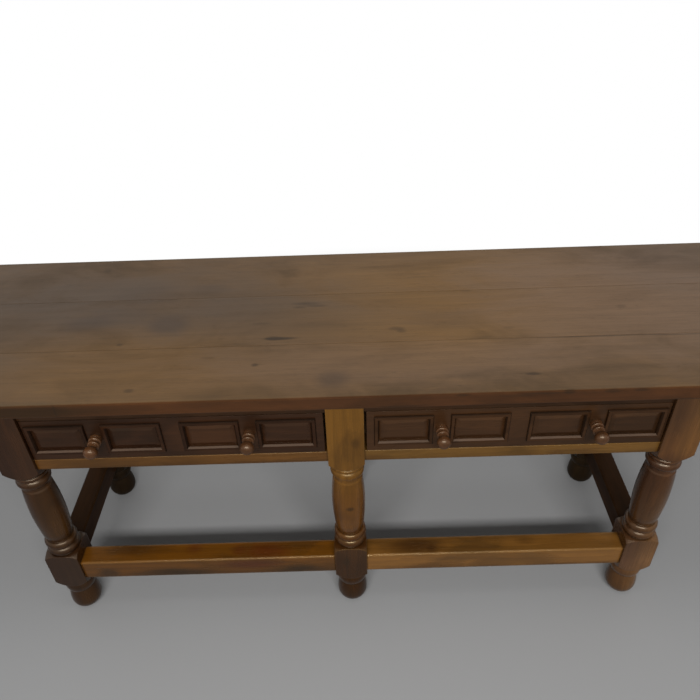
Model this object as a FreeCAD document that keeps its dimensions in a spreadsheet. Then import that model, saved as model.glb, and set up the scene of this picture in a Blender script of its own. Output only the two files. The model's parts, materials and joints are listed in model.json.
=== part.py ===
import FreeCAD, Part
import math
import os
import Sketcher

# Refectory side table with six turned legs, low stretchers and two panelled drawers, in millimetres.
# The origin is on the floor under the middle of the top, +Z is up and the drawers face -Y.

SIZES = {
    # The top
    "table_height": 780,
    "top_thickness": 33,
    "top_overhang": 46,
    "top_end_overhang": 214,
    "top_edge_round": 4,
    "front_board_width": 173,
    "back_board_width": 192,
    # Where the legs stand, from axis to axis
    "leg_square": 80,
    "leg_span": 1442,
    "leg_depth_span": 385,
    # The turned foot
    "foot_flat_radius": 22,
    "foot_ball_radius": 38.5,
    "foot_ball_middle": 30,
    "foot_ball_height": 74,
    "foot_neck_radius": 31,
    "foot_neck_height": 6,
    "foot_collar_radius": 35,
    "foot_collar_height": 30,
    "foot_collar_swell": 3.5,
    "foot_pommel_height": 30,
    # The square block that takes the stretchers
    "block_margin": 14,
    "pommel_swell": 2,
    "low_pommel_height": 21,
    "low_pommel_swell": 7.5,
    # The turned shaft
    "bead_base_radius": 33,
    "bead_height": 21,
    "bead_gap": 3,
    "bead_swell": 6,
    "shaft_neck_radius": 32,
    "low_neck_height": 5,
    "low_neck_radius": 29.5,
    "baluster_rim_radius": 31,
    "baluster_shoulder_radius": 36.5,
    "baluster_shoulder_height": 35,
    "baluster_shoulder_swell": 1.2,
    "baluster_radius": 39.3,
    "baluster_top_radius": 34.5,
    "baluster_top_height": 5,
    "top_neck_height": 10,
    "ring_base_radius": 33.5,
    "ring_height": 22,
    "ring_gap": 3,
    "ring_swell": 5.5,
    "top_bead_height": 10,
    "top_bead_swell": 4.5,
    "top_pommel_height": 30,
    # Rails, aprons and divider
    "rail_set_back": 8,
    "frieze_height": 202,
    "lower_rail_height": 30,
    "lower_rail_depth": 55,
    "upper_rail_depth": 30,
    "apron_thickness": 22,
    "divider_thickness": 22,
    "rail_arris": 1.5,
    # Stretchers
    "stretcher_set_back": 6,
    "stretcher_height": 62,
    "stretcher_thickness": 53,
    "stretcher_arris": 4,
    # Mortise and tenon joints
    "tenon_length": 30,
    "divider_tenon_length": 20,
    "tenon_shoulder": 6,
    "stretcher_tenon_shoulder": 16,
    "mortise_clearance": 0.2,
    "mortise_end_gap": 1,
    # Runners, kickers and stops of the drawers
    "runner_width": 24,
    "runner_height": 20,
    "guide_rise": 30,
    "kicker_gap": 1,
    "stop_length": 40,
    "stop_width": 20,
    "stop_height": 8,
    "stop_inset": 87,
    "stop_gap": 0.3,
    # Drawers
    "drawer_opening_height": 116,
    "drawer_gap": 1.5,
    "drawer_set_out": 2,
    "runner_gap": 0.3,
    "drawer_back_gap": 27,
    "drawer_front_thickness": 20,
    "drawer_side_thickness": 12,
    "drawer_side_drop": 6,
    "drawer_back_drop": 6,
    "drawer_back_inset": 12,
    "drawer_back_housing": 4,
    "drawer_bottom_thickness": 6,
    "drawer_bottom_rise": 10,
    "drawer_groove_depth": 5,
    "drawer_joint_clearance": 0.15,
    "dovetail_length": 14,
    "dovetail_width": 24,
    "dovetail_flare": 3,
    # Panels and mouldings of the drawer fronts
    "panel_low_rail": 27,
    "panel_high_rail": 23.5,
    "panel_set_out": 5,
    "panel_recess": 4,
    "panel_bevel": 11,
    "panel_rise": 4,
    "centre_stile": 60,
    "knob_stile": 56,
    "end_stile": 21,
    "moulding_width": 10,
    "moulding_height": 5,
    "moulding_lip": 1.2,
    "moulding_slope": 2.6,
    "moulding_outer_bevel": 1.5,
    # Knobs
    "knob_spigot_radius": 6,
    "knob_spigot_end_gap": 2,
    "knob_spigot_clearance": 0.1,
    "knob_base_radius": 13.5,
    "knob_base_height": 6,
    "knob_ring_radius": 10.5,
    "knob_ring_height": 7,
    "knob_ring_gap": 3,
    "knob_second_radius": 9.5,
    "knob_second_height": 7,
    "knob_neck_radius": 7,
    "knob_neck_height": 6,
    "knob_head_radius": 15,
    "knob_head_height": 24,
    "knob_tip_radius": 4,
    # Buttons and screws that hold the top down
    "button_length": 40,
    "button_width": 30,
    "button_thickness": 18,
    "button_tongue_length": 8,
    "button_tongue_thickness": 8,
    "button_slot_clearance": 0.3,
    "screw_radius": 2.2,
    "screw_head_radius": 4.5,
    "screw_head_height": 2.5,
    "screw_hold": 14,
    "screw_clearance": 0.1,
    "screw_end_gap": 1,
    # How far every cut runs past the face it opens on
    "cut_overrun": 1,
}

# A turned block is trimmed from a disc this many times its width in radius, so that its corners stay whole.
CORNER_SHARE = 0.75
# Heights of the middles of the dovetails, as shares of the drawer side's height.
DOVETAIL_SHARES = (0.2, 0.5, 0.8)
# The trimming frame of a leg is this many times as wide as the block.
TRIM_SHARE = 2
# How far the buttons of a bay stand from its middle, as a share of half its width.
BUTTON_SHARE = 0.5


class Size:
    """A length with its present value and the expression that keeps it tied to the sheet."""

    def __init__(self, value, text):
        self.value = value
        self.text = text

    def __add__(self, other):
        other = as_size(other)
        return Size(self.value + other.value, f"({self.text} + {other.text})")

    def __sub__(self, other):
        other = as_size(other)
        return Size(self.value - other.value, f"({self.text} - {other.text})")

    def __mul__(self, other):
        other = as_size(other)
        return Size(self.value * other.value, f"({self.text} * {other.text})")

    def __truediv__(self, other):
        other = as_size(other)
        return Size(self.value / other.value, f"({self.text} / {other.text})")

    def __neg__(self):
        return Size(-self.value, f"(0 - {self.text})")

    def root(self):
        return Size(math.sqrt(self.value), f"sqrt({self.text})")


def as_size(thing):
    """Lets a plain ratio or zero stand in a sum of sizes."""
    return thing if isinstance(thing, Size) else Size(float(thing), repr(float(thing)))


doc = FreeCAD.newDocument("refectory_table")
sheet = doc.addObject("Spreadsheet::Sheet", "sizes")
for row, (alias, number) in enumerate(SIZES.items(), 1):
    sheet.set(f"A{row}", alias)
    sheet.set(f"B{row}", str(number))
    sheet.setAlias(f"B{row}", alias)
doc.recompute()


def size(alias):
    """One driving dimension of the sheet."""
    return Size(float(getattr(sheet, alias)), f"sizes.{alias}")


# Tools that the pieces share

parts = []
overrun = size("cut_overrun")
zero = as_size(0)


def bind(thing, prop, length):
    """Ties one property to its size."""
    thing.setExpression(prop, as_size(length).text)


def place(thing, corner):
    """Ties the place of a feature or a body to three sizes."""
    for letter, length in zip("xyz", corner):
        bind(thing, f"Placement.Base.{letter}", length)


def new_body(label):
    """A sub-part, which is written to a file of its own."""
    body = doc.addObject("PartDesign::Body", label)
    body.Label = label
    body.AllowCompound = True
    parts.append(body)
    return body


def box(body, low, high, kind="Additive"):
    """Adds or cuts a block between two corners."""
    feature = body.newObject(f"PartDesign::{kind}Box", f"{kind}Box")
    for prop, start, end in zip(("Length", "Width", "Height"), low, high):
        bind(feature, prop, end - start)
    place(feature, low)
    return feature


def cut(body, low, high):
    """Cuts a block between two corners."""
    return box(body, low, high, "Subtractive")


def drill(body, start, axis, radius, depth, kind="Subtractive"):
    """A round hole, or a round bar, from a point along +Z or +Y."""
    feature = body.newObject(f"PartDesign::{kind}Cylinder", f"{kind}Cylinder")
    if axis == "y":
        feature.Placement.Rotation = FreeCAD.Rotation(FreeCAD.Vector(1, 0, 0), -90)
    bind(feature, "Radius", radius)
    bind(feature, "Height", depth)
    place(feature, start)
    return feature


def wedge(body, low, high, end_low, end_high, kind="Additive"):
    """A block along +Y whose far face shrinks or grows to end_low and end_high in X and Z."""
    feature = body.newObject(f"PartDesign::{kind}Wedge", f"{kind}Wedge")
    names = ("Xmin", "Ymin", "Zmin", "Xmax", "Ymax", "Zmax", "X2min", "Z2min", "X2max", "Z2max")
    origin = low[1]
    lengths = (low[0], zero, low[2], high[0], high[1] - origin, high[2],
               end_low[0], end_low[1], end_high[0], end_high[1])
    for name, length in zip(names, lengths):
        bind(feature, name, length)
    place(feature, (zero, origin, zero))
    return feature


def sketch_on(body, plane):
    """An empty sketch on one of the body's own origin planes."""
    sketch = body.newObject("Sketcher::SketchObject", "Outline")
    support = [item for item in body.Origin.OriginFeatures if item.Role == plane][0]
    sketch.AttachmentSupport = (support, [""])
    sketch.MapMode = "FlatFace"
    return sketch


def arc_middle(start, end, swell):
    """The axis along which an arc's middle is held, and its place there, from its ends and its swell."""
    across = end[0] - start[0]
    along = end[1] - start[1]
    chord = (across * across + along * along).root()
    back = (swell * swell - chord * chord / 4) / (swell * chord * 2)
    if abs(along.value) >= abs(across.value):
        return "DistanceX", (start[0] + end[0]) / 2 + along * back
    return "DistanceY", (start[1] + end[1]) / 2 - across * back


def outline(sketch, points):
    """Closes an outline through the points. A third entry makes the stretch that arrives there swell."""
    count = len(points)
    starts = []
    ends = []
    for index in range(count):
        here = points[index]
        there = points[(index + 1) % count]
        a = FreeCAD.Vector(here[0].value, here[1].value, 0)
        b = FreeCAD.Vector(there[0].value, there[1].value, 0)
        if len(there) > 2:
            right = FreeCAD.Vector(b.y - a.y, a.x - b.x, 0)
            right.normalize()
            middle = (a + b) * 0.5 + right * there[2].value
            line = sketch.addGeometry(Part.Arc(a, middle, b), False)
        else:
            line = sketch.addGeometry(Part.LineSegment(a, b), False)
        drawn = sketch.Geometry[line]
        forward = drawn.StartPoint.distanceToPoint(a) < drawn.EndPoint.distanceToPoint(a)
        starts.append((line, 1 if forward else 2))
        ends.append((line, 2 if forward else 1))
    for index in range(count):
        corner = points[index]
        sketch.addConstraint(Sketcher.Constraint("Coincident", *ends[index - 1], *starts[index]))
        for kind, length in (("DistanceX", corner[0]), ("DistanceY", corner[1])):
            number = sketch.addConstraint(Sketcher.Constraint(kind, -1, 1, *starts[index], length.value))
            bind(sketch, f"Constraints[{number}]", length)
        if len(corner) > 2:
            kind, length = arc_middle(points[index - 1], corner, corner[2])
            arc = ends[index - 1][0]
            number = sketch.addConstraint(Sketcher.Constraint(kind, -1, 1, arc, 3, length.value))
            bind(sketch, f"Constraints[{number}]", length)


def turn(body, points, plane):
    """Turns an outline round the upright axis of its sketch."""
    sketch = sketch_on(body, plane)
    outline(sketch, points)
    feature = body.newObject("PartDesign::Revolution", "Turning")
    feature.Profile = sketch
    feature.ReferenceAxis = (sketch, ["V_Axis"])
    feature.Angle = 360
    return feature


def round_edges(body, base, radius, wanted):
    """Rounds the straight edges of a feature that the test wants."""
    doc.recompute()
    names = []
    for number, edge in enumerate(base.Shape.Edges, 1):
        ends = [vertex.Point for vertex in edge.Vertexes]
        if len(ends) == 2 and wanted(ends[0], ends[1]):
            names.append(f"Edge{number}")
    feature = body.newObject("PartDesign::Fillet", "Easing")
    feature.Base = (base, names)
    bind(feature, "Radius", radius)
    return feature


def runs_along(axis):
    """A test for edges that run along one axis."""
    return lambda a, b: abs(getattr(a - b, axis)) > (a - b).Length / 2


# Heights and depths that several pieces share

half_square = size("leg_square") / 2
top_underside = size("table_height") - size("top_thickness")
top_front = -size("leg_depth_span") / 2 - half_square - size("top_overhang")
top_back = -top_front
front_legs = -size("leg_depth_span") / 2
back_legs = size("leg_depth_span") / 2
end_legs = size("leg_span") / 2
top_end = end_legs + half_square + size("top_end_overhang")
rail_face = half_square - size("rail_set_back")
stretcher_face = half_square - size("stretcher_set_back")
lower_rail_bottom = top_underside - size("frieze_height")
lower_rail_top = lower_rail_bottom + size("lower_rail_height")
opening_top = lower_rail_top + size("drawer_opening_height")
drawer_face = front_legs - rail_face
rail_back = drawer_face + size("lower_rail_depth")
upper_rail_back = drawer_face + size("upper_rail_depth")
back_apron_inside = back_legs + rail_face - size("apron_thickness")
end_apron_inside = end_legs + rail_face - size("apron_thickness")
divider_face = size("divider_thickness") / 2
bay_inner = half_square
bay_outer = end_legs - half_square
bay_middle = (bay_inner + bay_outer) / 2
bay_half = (bay_outer - bay_inner) / 2
foot_top = size("foot_ball_height") + size("foot_neck_height") + size("foot_collar_height")
stretcher_bottom = foot_top + size("foot_pommel_height")
stretcher_top = stretcher_bottom + size("stretcher_height")

LEGS = {
    "leg_front_left": (-end_legs, front_legs),
    "leg_front_middle": (zero, front_legs),
    "leg_front_right": (end_legs, front_legs),
    "leg_back_left": (-end_legs, back_legs),
    "leg_back_middle": (zero, back_legs),
    "leg_back_right": (end_legs, back_legs),
}


# Rails, aprons, divider and stretchers

def member(label, axis, first, last, across, heights, shoulder, arris=None, tenon=size("tenon_length")):
    """One piece that is tenoned into two legs."""
    return {"label": label, "axis": axis, "legs": (first, last), "across": across, "heights": heights,
            "shoulder": shoulder, "arris": arris, "tenon": tenon}


def corners(piece, run, inset):
    """Low and high corners of a length of the piece, inset all round."""
    low_across, high_across = piece["across"]
    low_height, high_height = piece["heights"]
    low = [run[0], low_across + inset, low_height + inset]
    high = [run[1], high_across - inset, high_height - inset]
    if piece["axis"] == "y":
        low = [low[1], low[0], low[2]]
        high = [high[1], high[0], high[2]]
    return low, high


def leg_faces(piece):
    """Where the piece meets its two legs."""
    along = 0 if piece["axis"] == "x" else 1
    first, last = piece["legs"]
    return LEGS[first][along] + half_square, LEGS[last][along] - half_square


def make_members():
    """Lists every piece that is tenoned into two legs."""
    rail_heights = (lower_rail_bottom, lower_rail_top)
    upper_heights = (opening_top, top_underside)
    apron_heights = (lower_rail_bottom, top_underside)
    stretcher_heights = (stretcher_bottom, stretcher_top)
    shoulder = size("tenon_shoulder")
    low_shoulder = size("stretcher_tenon_shoulder")
    rail_arris = size("rail_arris")
    arris = size("stretcher_arris")
    front_stretcher = (front_legs - stretcher_face, front_legs - stretcher_face + size("stretcher_thickness"))
    back_stretcher = (back_legs + stretcher_face - size("stretcher_thickness"), back_legs + stretcher_face)
    found = []
    for side, first, last in (("left", "left", "middle"), ("right", "middle", "right")):
        fronts = (f"leg_front_{first}", f"leg_front_{last}")
        backs = (f"leg_back_{first}", f"leg_back_{last}")
        found.append(member(f"lower_rail_{side}", "x", *fronts, (drawer_face, rail_back), rail_heights,
                            shoulder, rail_arris))
        found.append(member(f"upper_rail_{side}", "x", *fronts, (drawer_face, upper_rail_back), upper_heights,
                            shoulder))
        found.append(member(f"back_apron_{side}", "x", *backs, (back_apron_inside, back_legs + rail_face),
                            apron_heights, shoulder, rail_arris))
        found.append(member(f"front_stretcher_{side}", "x", *fronts, front_stretcher, stretcher_heights,
                            low_shoulder, arris))
        found.append(member(f"back_stretcher_{side}", "x", *backs, back_stretcher, stretcher_heights,
                            low_shoulder, arris))
    outer = end_legs + stretcher_face
    inner = outer - size("stretcher_thickness")
    for side, apron, stretcher in (
            ("left", (-end_legs - rail_face, -end_apron_inside), (-outer, -inner)),
            ("right", (end_apron_inside, end_legs + rail_face), (inner, outer))):
        ends = (f"leg_front_{side}", f"leg_back_{side}")
        found.append(member(f"end_apron_{side}", "y", *ends, apron, apron_heights, shoulder, rail_arris))
        found.append(member(f"side_stretcher_{side}", "y", *ends, stretcher, stretcher_heights,
                            low_shoulder, arris))
    found.append(member("centre_divider", "y", "leg_front_middle", "leg_back_middle",
                        (-divider_face, divider_face), apron_heights, shoulder,
                        tenon=size("divider_tenon_length")))
    return found


def build_member(piece):
    """The piece between its shoulders, its eased long edges and its two tenons."""
    body = new_body(piece["label"])
    near, far = leg_faces(piece)
    base = box(body, *corners(piece, (near, far), zero))
    if piece["arris"]:
        round_edges(body, base, piece["arris"], runs_along(piece["axis"]))
    box(body, *corners(piece, (near - piece["tenon"], near), piece["shoulder"]))
    box(body, *corners(piece, (far, far + piece["tenon"]), piece["shoulder"]))
    return body


def mortises(leg, pieces):
    """Low and high corners of every mortise of a leg, from the leg's own axis."""
    found = []
    for piece in pieces:
        if leg not in piece["legs"]:
            continue
        depth = piece["tenon"] + size("mortise_end_gap")
        near, far = leg_faces(piece)
        starts = leg == piece["legs"][0]
        run = (near - depth, near + overrun) if starts else (far - overrun, far + depth)
        low, high = corners(piece, run, piece["shoulder"] - size("mortise_clearance"))
        found.append(tuple([*map(lambda a, b: a - b, corner, LEGS[leg]), corner[2]] for corner in (low, high)))
    return found


# Legs

def easing(across, along):
    """The swell of an arc that runs upright at its wide end."""
    chord = across * across + along * along
    radius = chord / (across * 2)
    return radius - (radius * radius - chord / 4).root()


def leg_outline():
    """The turned shape of a leg, from the floor up: radius, height and any outward swell."""
    corner = size("leg_square") * CORNER_SHARE
    flat = size("foot_flat_radius")
    ball = size("foot_ball_radius")
    ball_middle = size("foot_ball_middle")
    ball_top = size("foot_ball_height")
    foot_neck = size("foot_neck_radius")
    collar = size("foot_collar_radius")
    collar_low = ball_top + size("foot_neck_height")
    block_high = stretcher_top + size("block_margin")
    base = size("bead_base_radius")
    bead = size("bead_height")
    bead_swell = size("bead_swell")
    low_bead = block_high + size("low_pommel_height")
    high_bead = low_bead + bead + size("bead_gap")
    neck = size("shaft_neck_radius")
    low_neck = size("low_neck_radius")
    rim = high_bead + bead + size("low_neck_height")
    shoulder_radius = size("baluster_shoulder_radius")
    belly = rim + size("baluster_shoulder_height")
    ring_base = size("ring_base_radius")
    top_bead_high = lower_rail_bottom - size("top_pommel_height")
    top_bead_low = top_bead_high - size("top_bead_height")
    ring_high = top_bead_low - size("ring_gap")
    ring_low = ring_high - size("ring_height")
    neck_low = ring_low - size("top_neck_height")
    top_radius = size("baluster_top_radius")
    belly_top = neck_low - size("baluster_top_height")
    belly_swell = size("baluster_radius") - (shoulder_radius + top_radius) / 2
    return [
        (zero, zero),
        (flat, zero),
        (ball, ball_middle, easing(ball - flat, ball_middle)),
        (foot_neck, ball_top, easing(ball - foot_neck, ball_top - ball_middle)),
        (foot_neck, collar_low),
        (collar, collar_low),
        (collar, foot_top, size("foot_collar_swell")),
        (corner, stretcher_bottom, size("pommel_swell")),
        (corner, block_high),
        (base, low_bead, size("low_pommel_swell")),
        (base, low_bead + bead, bead_swell),
        (base, high_bead),
        (base, high_bead + bead, bead_swell),
        (low_neck, high_bead + bead),
        (low_neck, rim),
        (size("baluster_rim_radius"), rim),
        (shoulder_radius, belly, size("baluster_shoulder_swell")),
        (top_radius, belly_top, belly_swell),
        (neck, neck_low),
        (neck, ring_low),
        (ring_base, ring_low),
        (ring_base, ring_high, size("ring_swell")),
        (ring_base, top_bead_low),
        (ring_base, top_bead_high, size("top_bead_swell")),
        (corner, lower_rail_bottom, size("pommel_swell")),
        (corner, top_underside),
        (zero, top_underside),
    ]


def build_leg(label, pieces):
    """Turns a leg, trims its blocks square and cuts its mortises."""
    body = new_body(label)
    turn(body, leg_outline(), "XZ_Plane")
    trim = sketch_on(body, "XY_Plane")
    for reach in (half_square * TRIM_SHARE, half_square):
        outline(trim, [(-reach, -reach), (reach, -reach), (reach, reach), (-reach, reach)])
    pocket = body.newObject("PartDesign::Pocket", "Squaring")
    pocket.Profile = trim
    pocket.Type = "ThroughAll"
    pocket.Reversed = True
    for low, high in mortises(label, pieces):
        cut(body, low, high)
    axis_x, axis_y = LEGS[label]
    place(body, (axis_x, axis_y, zero))
    return body


# Runners, kickers and stops

def mirrored(low, high, side):
    """Swaps the corners of a block over to the left bay."""
    if side == "right":
        return low, high
    return (-high[0], low[1], low[2]), (-low[0], high[1], high[2])


def build_runners(side):
    """Each bay's rebated runners, with the guide that keeps the drawer straight, and the kickers above."""
    runner = size("runner_width")
    runner_low = lower_rail_top - size("runner_height")
    guide_top = lower_rail_top + size("guide_rise")
    leg_front = front_legs + half_square
    leg_back = back_legs - half_square
    kicker_low = drawer_side_top + size("kicker_gap")
    spans = {
        "inner": ((bay_inner, bay_inner + runner), (divider_face, bay_inner)),
        "outer": ((bay_outer - runner, bay_outer), (bay_outer, end_apron_inside)),
    }
    for name, (strip, guide) in spans.items():
        body = new_body(f"{side}_bay_{name}_runner")
        box(body, *mirrored((strip[0], rail_back, runner_low),
                            (strip[1], back_apron_inside, lower_rail_top), side))
        box(body, *mirrored((guide[0], leg_front, runner_low), (guide[1], leg_back, guide_top), side))
        body = new_body(f"{side}_bay_{name}_kicker")
        box(body, *mirrored((strip[0], upper_rail_back, kicker_low),
                            (strip[1], back_apron_inside, top_underside), side))


def build_stops():
    """Small blocks on the lower rails that the closed drawer fronts meet."""
    body = new_body("drawer_stops")
    half = size("stop_length") / 2
    near = drawer_back_of_front + size("stop_gap")
    for bay in (-drawer_middle, drawer_middle):
        for side in (-1, 1):
            middle = bay + (side_inside - size("stop_inset") - half) * side
            box(body, (middle - half, near, lower_rail_top),
                (middle + half, near + size("stop_width"), lower_rail_top + size("stop_height")))


# Drawers

drawer_half = bay_half - size("drawer_gap") - size("drawer_set_out")
drawer_middle = bay_middle + size("drawer_set_out")
drawer_low = lower_rail_top + size("drawer_gap")
drawer_high = opening_top - size("drawer_gap")
drawer_back_of_front = drawer_face + size("drawer_front_thickness")
drawer_end = back_apron_inside - size("drawer_back_gap")
drawer_side_low = lower_rail_top + size("runner_gap")
drawer_side_top = drawer_high - size("drawer_side_drop")
side_inside = drawer_half - size("drawer_side_thickness")
bottom_low = drawer_side_low + size("drawer_bottom_rise")
bottom_high = bottom_low + size("drawer_bottom_thickness")
joint_gap = size("drawer_joint_clearance")
panel_low = drawer_low + size("panel_low_rail")
panel_high = drawer_high - size("panel_high_rail")
panel_middle = (panel_low + panel_high) / 2
panel_width = (drawer_half - size("centre_stile") / 2 - size("knob_stile") - size("end_stile")) / 2
panel_height = panel_high - panel_low
inner_panel = (size("centre_stile") + panel_width) / 2
outer_panel = inner_panel + panel_width + size("knob_stile")
knob_offset = (inner_panel + outer_panel) / 2
PANELS = {"1": -outer_panel, "2": -inner_panel, "3": inner_panel, "4": outer_panel}


def panel_row(bay):
    """The middle of the row of panels, which sits a little nearer the end of the table."""
    return bay + size("panel_set_out") * (1 if bay.value > 0 else -1)


def dovetails(grow):
    """Corners of the tails of a right-hand side: the wide tip first, then the narrow root, in Z."""
    half = size("dovetail_width") / 2 + grow
    flare = size("dovetail_flare")
    height = drawer_side_top - drawer_side_low
    tip = drawer_back_of_front - size("dovetail_length") - grow
    for share in DOVETAIL_SHARES:
        middle = drawer_side_low + height * share
        yield tip, (middle - half, middle + half), (middle - half + flare, middle + half - flare)


def tails(body, inside, outside, grow, root, kind):
    """Adds or cuts the row of dovetails between two faces."""
    for tip, wide, narrow in dovetails(grow):
        wedge(body, (inside, tip, wide[0]), (outside, root, wide[1]),
              (inside, narrow[0]), (outside, narrow[1]), kind)


def build_drawer_front(name, bay):
    """The front board, with its sunk and bevelled panels, sockets, groove and knob holes."""
    body = new_body(f"{name}_front")
    box(body, (bay - drawer_half, drawer_face, drawer_low),
        (bay + drawer_half, drawer_back_of_front, drawer_high))
    half_width = panel_width / 2
    half_height = panel_height / 2
    bevel = size("panel_bevel")
    floor = drawer_face + size("panel_recess")
    row = panel_row(bay)
    for offset in PANELS.values():
        middle = row + offset
        cut(body, (middle - half_width, drawer_face - overrun, panel_middle - half_height),
            (middle + half_width, floor, panel_middle + half_height))
    for offset in PANELS.values():
        middle = row + offset
        low = panel_middle - half_height
        high = panel_middle + half_height
        wedge(body, (middle - half_width + bevel, floor - size("panel_rise"), low + bevel),
              (middle + half_width - bevel, floor, high - bevel),
              (middle - half_width, low), (middle + half_width, high))
    for side in (-1, 1):
        outside = bay + drawer_half * side
        inside = bay + (side_inside - joint_gap) * side
        low, high = (inside, outside + overrun) if side > 0 else (outside - overrun, inside)
        tails(body, low, high, joint_gap, drawer_back_of_front + joint_gap, "Subtractive")
    groove = side_inside + size("drawer_groove_depth") + joint_gap
    groove_face = drawer_back_of_front - size("drawer_groove_depth") - joint_gap
    cut(body, (bay - groove, groove_face, bottom_low - joint_gap),
        (bay + groove, drawer_back_of_front + overrun, bottom_high + joint_gap))
    for offset in (-knob_offset, knob_offset):
        drill(body, (row + offset, drawer_face - overrun, panel_middle), "y",
              size("knob_spigot_radius") + size("knob_spigot_clearance"),
              size("drawer_front_thickness") + overrun + overrun)
    return body


def build_drawer_side(name, bay, label, side):
    """A drawer side, dovetailed to the front, grooved for the bottom and housed for the back."""
    body = new_body(f"{name}_{label}_side")
    inside = bay + side_inside * side
    outside = bay + drawer_half * side
    low, high = (inside, outside) if side > 0 else (outside, inside)
    box(body, (low, drawer_back_of_front, drawer_side_low), (high, drawer_end, drawer_side_top))
    tails(body, low, high, zero, drawer_back_of_front, "Additive")
    depth = size("drawer_groove_depth") + joint_gap
    low, high = (inside - overrun, inside + depth) if side > 0 else (inside - depth, inside + overrun)
    cut(body, (low, drawer_back_of_front - depth, bottom_low - joint_gap),
        (high, drawer_end + overrun, bottom_high + joint_gap))
    depth = size("drawer_back_housing") + joint_gap
    low, high = (inside - overrun, inside + depth) if side > 0 else (inside - depth, inside + overrun)
    back_face = drawer_end - size("drawer_back_inset")
    cut(body, (low, back_face - size("drawer_side_thickness") - joint_gap, bottom_high),
        (high, back_face + joint_gap, drawer_side_top + overrun))
    return body


def build_drawer_back(name, bay):
    """The back, which stands on the bottom board between the sides."""
    body = new_body(f"{name}_back")
    half = side_inside + size("drawer_back_housing")
    back_face = drawer_end - size("drawer_back_inset")
    box(body, (bay - half, back_face - size("drawer_side_thickness"), bottom_high + joint_gap),
        (bay + half, back_face, drawer_side_top - size("drawer_back_drop")))
    return body


def build_drawer_bottom(name, bay):
    """The thin bottom board in its grooves."""
    body = new_body(f"{name}_bottom")
    half = side_inside + size("drawer_groove_depth")
    box(body, (bay - half, drawer_back_of_front - size("drawer_groove_depth"), bottom_low),
        (bay + half, drawer_end, bottom_high))
    return body


def knob_outline():
    """The turned shape of a knob: radius, distance in front of the drawer and any outward swell."""
    spigot = size("knob_spigot_radius")
    spigot_end = size("knob_spigot_end_gap") - size("drawer_front_thickness")
    base = size("knob_base_radius")
    base_top = size("knob_base_height")
    ring = size("knob_ring_radius")
    ring_top = base_top + size("knob_ring_height")
    second = size("knob_second_radius")
    second_low = ring_top + size("knob_ring_gap")
    second_top = second_low + size("knob_second_height")
    neck = size("knob_neck_radius")
    neck_top = second_top + size("knob_neck_height")
    head_top = neck_top + size("knob_head_height")
    tip = size("knob_tip_radius")
    head_swell = size("knob_head_radius") - (neck + tip) / 2
    return [
        (zero, spigot_end),
        (spigot, spigot_end),
        (spigot, zero),
        (base, zero),
        (base, base_top),
        (ring, base_top),
        (ring, ring_top, size("knob_ring_height") / 2),
        (second, second_low),
        (second, second_top, size("knob_second_height") / 2),
        (neck, neck_top),
        (tip, head_top, head_swell),
        (zero, head_top),
    ]


def build_knob(name, bay, label, side):
    """A turned knob with its spigot in the drawer front."""
    body = new_body(f"{name}_{label}_knob")
    turn(body, knob_outline(), "XY_Plane")
    body.Placement.Rotation = FreeCAD.Rotation(FreeCAD.Vector(0, 0, 1), 180)
    place(body, (panel_row(bay) + knob_offset * side, drawer_face, panel_middle))
    return body


def mitred_strip(section, run_half, side_half):
    """One strip of a moulding frame, mitred at both ends, that runs along X below the panel's middle."""
    ends = []
    for sign in (-1, 1):
        ends.append([FreeCAD.Vector(sign * (run_half + out), -rise, -side_half - out) for out, rise in section])
    faces = [Part.Face(Part.makePolygon(ring + ring[:1])) for ring in ends]
    for index in range(len(section)):
        left = ends[0]
        right = ends[1]
        faces.append(Part.Face(Part.makePolygon(
            [left[index - 1], left[index], right[index], right[index - 1], left[index - 1]])))
    return Part.makeSolid(Part.makeShell(faces))


def build_moulding(name, bay, number):
    """Four mitred strips round one panel."""
    wide = size("moulding_width").value
    tall = size("moulding_height").value
    bevel = size("moulding_outer_bevel").value
    section = [(0, 0), (0, size("moulding_lip").value), (size("moulding_slope").value, tall),
               (wide - bevel, tall), (wide, tall - bevel), (wide, 0)]
    half_width = panel_width.value / 2
    half_height = panel_height.value / 2
    upright = FreeCAD.Vector(0, 1, 0)
    strips = []
    for quarter in range(4):
        lying = quarter % 2 == 0
        run, side = (half_width, half_height) if lying else (half_height, half_width)
        strip = mitred_strip(section, run, side)
        strip.rotate(FreeCAD.Vector(0, 0, 0), upright, 90 * quarter)
        strips.append(strip)
    frame = doc.addObject("Part::Feature", f"{name}_moulding_{number}")
    frame.Label = f"{name}_moulding_{number}"
    frame.Shape = Part.makeCompound(strips)
    place(frame, (panel_row(bay) + PANELS[number], drawer_face, panel_middle))
    parts.append(frame)
    return frame


def build_drawer(name, bay):
    """Everything that slides out together."""
    build_drawer_front(name, bay)
    for label, side in (("left", -1), ("right", 1)):
        build_drawer_side(name, bay, label, side)
        build_knob(name, bay, label, side)
    build_drawer_back(name, bay)
    build_drawer_bottom(name, bay)
    for number in PANELS:
        build_moulding(name, bay, number)


# Top, with the buttons and screws that hold it

def button_places():
    """Where each button meets its rail: the point, and the way its tongue points."""
    found = []
    for bay in (-bay_middle, bay_middle):
        for side in (-1, 1):
            found.append((bay + bay_half * BUTTON_SHARE * side, upper_rail_back, (0, -1)))
            found.append((bay + bay_half * BUTTON_SHARE * side, back_apron_inside, (0, 1)))
    found.append((-end_apron_inside, zero, (-1, 0)))
    found.append((end_apron_inside, zero, (1, 0)))
    return found


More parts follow.
